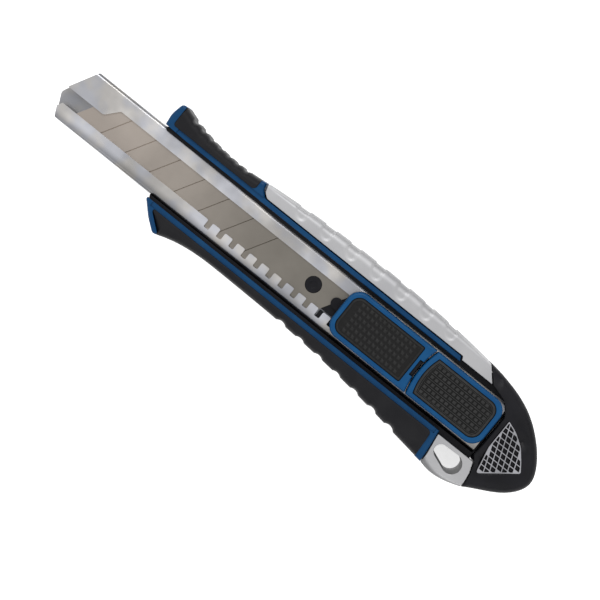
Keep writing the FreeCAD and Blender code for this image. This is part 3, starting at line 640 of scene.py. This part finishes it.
def add_button_pad():
    """Rear pad: square studs in rows, with a thin rib between the rows and a rib round them."""
    low, high = box_mm("button_pad")
    reach = (high.y**2 + BUTTON_BULGE**2) / (2 * BUTTON_BULGE)

    def ring_at(inset):
        rear, right = max(3.6 - inset, LEAST_RADIUS), high.x - inset
        side, radius = high.y - inset, reach - inset
        corners = [(right, -side, rear), (right, side, rear), (low.x, side, 0), (low.x, -side, 0)]
        ring = rounded(corners)[:-2]
        lean = math.asin(side / radius)
        for k in range(2 * BULGE_STEPS + 1):
            angle = lean * (1 - k / BULGE_STEPS)
            x, y = low.x + reach - radius * math.cos(angle), radius * math.sin(angle)
            ring.append(Vector((x, y)))
        return ring

    border, ground, rib = high.z - 0.12, high.z - 0.3, high.z - 0.04
    profile = fillet_profile(low.z, border, PAD_FILLET)
    profile += [(1.0, border), (1.08, ground), (1.18, ground)]
    profile += [(1.26, rib), (1.4, rib), (1.48, ground), (1.52, ground)]
    bm, rim = ringed_plate(ring_at, profile)
    cut_beside(bm, X_AXIS, STUD_COLUMNS, STUD_CUTS_X)
    cut_beside(bm, Y_AXIS, STUD_ROWS, STUD_CUTS_Y)
    cut_beside(bm, Y_AXIS, RIB_ROWS, RIB_CUTS)
    field = ring_at(1.5)
    corners = [(dx, dy) for dx in (-STUD_HALF_X, STUD_HALF_X) for dy in (-STUD_HALF_Y, STUD_HALF_Y)]
    studs = []
    for x in STUD_COLUMNS:
        for y in STUD_ROWS:
            if all(inside((x + dx, y + dy), field) for dx, dy in corners):
                studs.append((x, y))

    def relief(x, y):
        if min(abs(y - r) for r in RIB_ROWS) < RIB_HALF and RIB_FRONT < x < RIB_REAR:
            return RIB_HEIGHT
        for stud_x, stud_y in studs:
            if abs(x - stud_x) < STUD_HALF_X and abs(y - stud_y) < STUD_HALF_Y:
                return STUD_HEIGHT
        return 0

    raise_field(bm, rim, relief)
    rubber = make_pad_rubber("press_pad_rubber", high.z - 0.31, high.z - 0.01, 0.004, 0.04)
    return add_piece("press_pad", bm, "button", ["button_pad"], "black_rubber", 25, rubber)


# ---- the badge on the end cap --------------------------------------------------------------------

BADGE = [
    (76.1, 5.4, 0.3),
    (76.1, -5.2, 6),
    (78.1, -14.5, 0.7),
    (89.6, -5.5, 0.7),
    (87.5, -2.6, 6),
    (84.3, 1.2, 8),
    (80.2, 3.9, 8),
]
BAR_HALF = 0.14
ROW_PITCH = 1.75
ROW_FIRST = 3.05
ROWS = range(-2, 11)
COLUMN_PITCH = 1.95
COLUMN_FIRST = 76.95
COLUMN_LEAN = 0.39
COLUMNS = range(-4, 8)
LEAST_OPEN_SHARE = 0.4
CELL_STUD_HALF_X, CELL_STUD_HALF_Y = 0.66, 0.6
CELL_STUD_CUTS = (-1, -0.65, -0.2, 0.2, 0.65, 1)
CELL_STUD_HEIGHT = 0.33
BADGE_RECESS = 0.35


def badge_ring(inset):
    """The badge's outline moved inward."""
    corners = []
    count = len(BADGE)
    for i, (x, y, radius) in enumerate(BADGE):
        before = Vector((x - BADGE[i - 1][0], y - BADGE[i - 1][1])).normalized()
        after = Vector((BADGE[(i + 1) % count][0] - x, BADGE[(i + 1) % count][1] - y)).normalized()
        out = (Vector((-before.y, before.x)) + Vector((-after.y, after.x))).normalized()
        far = inset / out.dot(Vector((-before.y, before.x)))
        corners.append((x + out.x * far, y + out.y * far, max(radius - inset, LEAST_RADIUS)))
    return rounded(corners)


def cell_offset(x, y):
    """How far a point is from the middle of its lattice cell, along the row and across it."""
    column = (x + COLUMN_LEAN * y - COLUMN_FIRST) / COLUMN_PITCH
    row = (ROW_FIRST - y) / ROW_PITCH
    across = (column - math.floor(column) - 0.5) * COLUMN_PITCH
    return across, (row - math.floor(row) - 0.5) * ROW_PITCH


def cut_lattice(bm, offsets_x, offsets_y):
    """Splits the field along lines beside every slanted bar and every level bar."""
    slant = Vector((1, COLUMN_LEAN, 0)).normalized()
    for i in COLUMNS:
        for offset in offsets_x:
            cut_field(bm, Vector((COLUMN_FIRST + COLUMN_PITCH * i + offset, 0, 0)), slant)
    for i in ROWS:
        for offset in offsets_y:
            cut_field(bm, Vector((0, ROW_FIRST - ROW_PITCH * i + offset, 0)), Y_AXIS)


def add_badge_mesh():
    """Thin lattice: a border, level and slanted bars; small cells along the border are closed."""
    low, high = box_mm("badge_mesh")
    bm, _ = ringed_plate(badge_ring, [(0.12, low.z), (0.42, low.z)])
    bm.faces.ensure_lookup_table()
    bm.faces.remove(bm.faces[0])
    slanted = BAR_HALF * math.hypot(1, COLUMN_LEAN)
    cut_lattice(bm, (-slanted, slanted), (-BAR_HALF, BAR_HALF))
    cell = (ROW_PITCH - 2 * BAR_HALF) * (COLUMN_PITCH - 2 * slanted)
    open_x, open_y = COLUMN_PITCH / 2 - slanted, ROW_PITCH / 2 - BAR_HALF
    holes = []
    for face in bm.faces:
        if face.material_index == FIELD:
            face.material_index = 0
            middle = face.calc_center_median()
            across, down = cell_offset(middle.x, middle.y)
            in_cell = abs(across) < open_x and abs(down) < open_y
            if in_cell and face.calc_area() > LEAST_OPEN_SHARE * cell:
                holes.append(face)
    bmesh.ops.delete(bm, geom=holes, context="FACES")
    raised = bmesh.ops.extrude_face_region(bm, geom=bm.faces[:], use_keep_orig=True)["geom"]
    for vert in [v for v in raised if isinstance(v, bmesh.types.BMVert)]:
        vert.co.z = high.z
    return add_piece("badge_lattice", bm, "cap", ["badge_mesh"], "grey_plastic")


def add_badge_ground():
    """Dark ground of the badge with one soft square stud in each cell."""
    low, high = box_mm("badge_base")
    ground = high.z - BADGE_RECESS
    bm, rim = ringed_plate(badge_ring, [(0.1, low.z), (0.1, ground), (0.5, ground)])
    middles_x = [COLUMN_PITCH / 2 + side * CELL_STUD_HALF_X for side in CELL_STUD_CUTS]
    middles_y = [ROW_PITCH / 2 + side * CELL_STUD_HALF_Y for side in CELL_STUD_CUTS]
    cut_lattice(bm, middles_x, middles_y)

    def relief(x, y):
        across, down = cell_offset(x, y)
        across, down = abs(across / CELL_STUD_HALF_X), abs(down / CELL_STUD_HALF_Y)
        return CELL_STUD_HEIGHT * math.sqrt(max(0, 1 - across**3 - down**3))

    raise_field(bm, rim, relief)
    return add_piece("badge_ground", bm, "cap", ["badge_base"], "black_rubber", 60)


# ---- grips and spine cover -----------------------------------------------------------------------

# Outward distances run from the guide's centre line, towards the spine or the cutting edge.
PLAN_HEIGHT = 15.5
SHELL_SIDE = 13.62
SHELL_LEDGE = 14.3
STRIP_STEP = 0.25
END_STEPS = (0, 0.04, 0.1, 0.2, 0.3, 0.42)
END_RADIUS = 0.4
INNER_RADIUS = 0.3
LEAST_FLAT_SHARE = 0.35
FLAT_STEPS = ROLL_STEPS = 10
SMOOTH_REACH = 4
PIVOT = 12.25
OUTER_REACH = 5.0
LEAN_FROM = 48
COVER_REAR = 63.5
COVER_REAR_LEAN = -0.891
COVER_CORE = 15.4
SCOOPS = [-16.4 + 10.13 * i for i in range(7)]
SCOOP_LEAN = 0.25
SCOOP_CENTRE = 13.5
SCOOP_BOTTOM = 15.65
SCOOP_RADIUS = 2.6
SCOOP_EDGE = 1.1
SCOOP_DEPTH = 0.24


def section(node, z, side):
    """The straight pieces of a CAD node's outline at a height, as (along, outward) points."""
    bm = mesh_mm(node)
    geometry = bm.verts[:] + bm.edges[:] + bm.faces[:]
    cut = bmesh.ops.bisect_plane(
        bm, geom=geometry, dist=CUT_TOLERANCE, plane_co=(0, 0, z), plane_no=(0, 0, 1)
    )["geom_cut"]
    edges = [e for e in cut if isinstance(e, bmesh.types.BMEdge)]
    pieces = [tuple((v.co.x, v.co.y * side) for v in edge.verts) for edge in edges]
    bm.free()
    return pieces


def span(pieces, x):
    """How far in and out the outline reaches at one place along the knife."""
    reach = []
    for (ax, ay), (bx, by) in pieces:
        if (ax - x) * (bx - x) <= 0 and abs(bx - ax) > 1e-6:
            reach.append(ay + (by - ay) * (x - ax) / (bx - ax))
    return min(reach), max(reach)


def scoop_depth(x, v):
    """Thumb scoops: leaning U-shaped hollows that open at the spine; v is outward."""
    depth = 0
    for centre in SCOOPS:
        across = abs(x - centre + SCOOP_LEAN * (v - SCOOP_CENTRE))
        away = math.hypot(across, min(v - SCOOP_BOTTOM, 0))
        depth = max(depth, SCOOP_DEPTH * smoothstep((SCOOP_RADIUS - away) / SCOOP_EDGE))
    return depth


def add_strip(name, node, side, slot, roll, drop, rear=None, lean=0.0, core=None, relief=None):
    """A long block on one flank, as cross-sections between the inner and outer CAD outline.

    Its top is flat beside the shell, then falls by drop over the outer roll millimetres, or
    from core outwards. It ends at rear or at the CAD node's end, and lean skews that end.
    """
    low, high = box_mm(node)
    pieces = section(node, PLAN_HEIGHT, side)
    first = min(min(a[0], b[0]) for a, b in pieces) + 0.06
    end = max(max(a[0], b[0]) for a, b in pieces) - 0.01
    last = end if rear is None else rear
    outer_end = end + lean * OUTER_REACH
    # The even places nearest the ends give way to the closer end steps.
    count = round((last - first) / STRIP_STEP)
    places = [first + step for step in END_STEPS]
    places += [first + (last - first) * i / count for i in range(3, count - 2)]
    places += [last - step for step in reversed(END_STEPS)]

    def outward(x):
        return span(pieces, min(max(x, first), outer_end))[1]

    def inward(x):
        return span(pieces, min(max(x, first), end))[0]

    bm = bmesh.new()
    previous = None
    for place in places:
        slope = lean * smoothstep((place - LEAN_FROM) / (last - LEAN_FROM))
        outer = outward(place)
        for _ in range(3):
            outer = outward(place + slope * (outer - PIVOT))
        inner = inward(place)
        inner = inward(place + slope * (inner - PIVOT))
        near = min(place - first, last - place)
        top = high.z
        if near < END_RADIUS:
            top = high.z - (END_RADIUS - math.sqrt(END_RADIUS**2 - (END_RADIUS - near) ** 2))
        flat = core
        if core is None:
            steps = range(-SMOOTH_REACH, SMOOTH_REACH + 1)
            flat = sum(outward(place + step) for step in steps) / len(steps) - roll
        flat = max(flat, inner + LEAST_FLAT_SHARE * (outer - inner))
        foot = max(inner + 0.02, min(SHELL_SIDE, outer - 0.3))
        rim = min(INNER_RADIUS, (flat - inner) / 3)
        ring = [(foot, low.z), (foot, SHELL_LEDGE), (inner, SHELL_LEDGE)]
        ring += [(inner, top - rim), (inner + 0.3 * rim, top - 0.3 * rim)]
        for k in range(FLAT_STEPS + 1):
            ring.append((inner + rim + (flat - inner - rim) * k / FLAT_STEPS, top))
        for k in range(1, ROLL_STEPS + 1):
            angle = math.pi / (2 * ROLL_STEPS) * k
            sunk = drop * (1 - math.cos(angle))
            ring.append((flat + (outer - flat) * math.sin(angle), top - sunk))
        ring += [(outer, low.z + 1.0), (max(outer - 0.3, foot + 0.1), low.z + 0.3)]
        ring.append((max(outer - 1.0, foot + 0.05), low.z))
        verts = []
        for v, z in ring:
            x = place + slope * (v - PIVOT)
            if relief is not None and z > top - drop + 0.01:
                z -= relief(x, v)
            verts.append(bm.verts.new((x, v * side, z)))
        if previous is None:
            bm.faces.new(verts)
        else:
            join_rings(bm, previous, verts)
        previous = verts
    bm.faces.new(list(reversed(previous)))
    return add_piece(name, bm, "handle", [node], slot)


# ---- end cap and lanyard eye ---------------------------------------------------------------------

# The cap's outer curve is found by looking outward from its middle in sectors of so many degrees.
CAP_MIDDLE = Vector((74, -3))
CAP_OUTLINE_HEIGHT = 9.0
SECTOR = 2
SECTOR_FIRST, SECTOR_LAST = -39, 62
WALL_SPREAD = 1.0
MERGE_DISTANCE = 0.001
LEAST_UPWARD = 0.03
CROWN_REACH = 5.0
CROWN_DROP = 1.3
CREASE_X, CREASE_Y = 69.5, -21.6
CREASE_BEND = 0.03
CREASE_SLOPE = 0.85


def add_rolled_copy(name, node, body, slot, drop, step, material=None):
    """A finer copy of a CAD node: its upward faces sink by drop(x, y) at the top, less below."""
    floor = PLAN_HEIGHT
    bm = mesh_mm(node)
    bmesh.ops.remove_doubles(bm, verts=bm.verts, dist=MERGE_DISTANCE)
    bm.normal_update()
    for face in bm.faces:
        lowest = min(vert.co.z for vert in face.verts)
        faces_up = face.normal.z > LEAST_UPWARD and lowest > floor
        face.material_index = FIELD if faces_up else 0
    low, high = box_mm(node)
    for axis, start, end in ((X_AXIS, low.x, high.x), (Y_AXIS, low.y, high.y)):
        for i in range(1, int((end - start) / step) + 1):
            cut_field(bm, axis * (start + i * step), axis)
    for vert in {v for face in bm.faces if face.material_index == FIELD for v in face.verts}:
        vert.co.z -= drop(vert.co.x, vert.co.y) * (vert.co.z - floor) / (high.z - floor)
    for face in bm.faces:
        face.material_index = 0
    return add_piece(name, bm, body, [node], slot, material=material)


def cap_outline():
    """The straight pieces of the cap's outer curve, from the lanyard eye round to the spine."""
    farthest = {}
    for (ax, ay), (bx, by) in section("end_cap", CAP_OUTLINE_HEIGHT, 1):
        start, end = Vector((ax, ay)), Vector((bx, by))
        middle = (start + end) / 2 - CAP_MIDDLE
        sector = round(math.degrees(math.atan2(middle.y, middle.x)) / SECTOR)
        if SECTOR_FIRST <= sector <= SECTOR_LAST:
            farthest.setdefault(sector, []).append((middle.length, start, end))
    pieces = []
    for found in farthest.values():
        reach = max(item[0] for item in found)
        pieces += [(start, end) for length, start, end in found if length > reach - WALL_SPREAD]
    return pieces


def distance_to(pieces, x, y):
    """How far a point is from the nearest of some straight pieces."""
    point = Vector((x, y))
    best = 100.0
    for start, end in pieces:
        run = end - start
        share = min(max((point - start).dot(run) / max(run.length_squared, 1e-9), 0), 1)
        best = min(best, (start + run * share - point).length)
    return best


def add_cap():
    """End cap whose top rolls over towards its outer curve."""
    pieces = cap_outline()

    def drop(x, y):
        return CROWN_DROP * max(1 - distance_to(pieces, x, y) / CROWN_REACH, 0) ** 2

    return add_rolled_copy("crowned_cap", "end_cap", "cap", "black_plastic", drop, step=0.6)


def add_eye():
    """Lanyard bracket whose belly falls away from a crease below the hole."""

    def drop(x, y):
        bend = 1 if x < CREASE_X else 0.9
        crease = CREASE_Y + CREASE_BEND * (x - CREASE_X) ** 2 * bend
        return CREASE_SLOPE * max(crease - y, 0)

    # Painted shade darkens the eye's belly and the wall of its hole.
    metal = make_silver("eye_metal", shaded_to=0.0168, unshaded_from=0.0179, flank=0.42)
    return add_rolled_copy(
        "creased_eye", "lanyard_bracket", "handle", "silver_metal", drop, step=0.4, material=metal
    )


# ---- scene ---------------------------------------------------------------------------------------

add_camera()
add_world()
add_floor()
add_light("key", place=(-0.25, 0.45, 0.75), side=0.25, power=1.5)
add_light("fill", place=(0.4, -0.5, 0.6), side=0.6, power=0.08)
paint_cad_nodes()
add_slide_pad()
add_button_pad()
add_badge_mesh()
add_badge_ground()
add_cap()
add_eye()
add_strip("front_grip_pad", "upper_grip_pad", 1, "black_rubber", roll=2.6, drop=2.8)
add_strip("long_grip_pad", "lower_grip_pad", -1, "black_rubber", roll=2.8, drop=3.0)
add_strip(
    "scooped_cover",
    "spine_cover",
    1,
    "silver_metal",
    roll=2.6,
    drop=2.4,
    rear=COVER_REAR,
    lean=COVER_REAR_LEAN,
    core=COVER_CORE,
    relief=scoop_depth,
)
scene.view_settings.view_transform = "Standard"
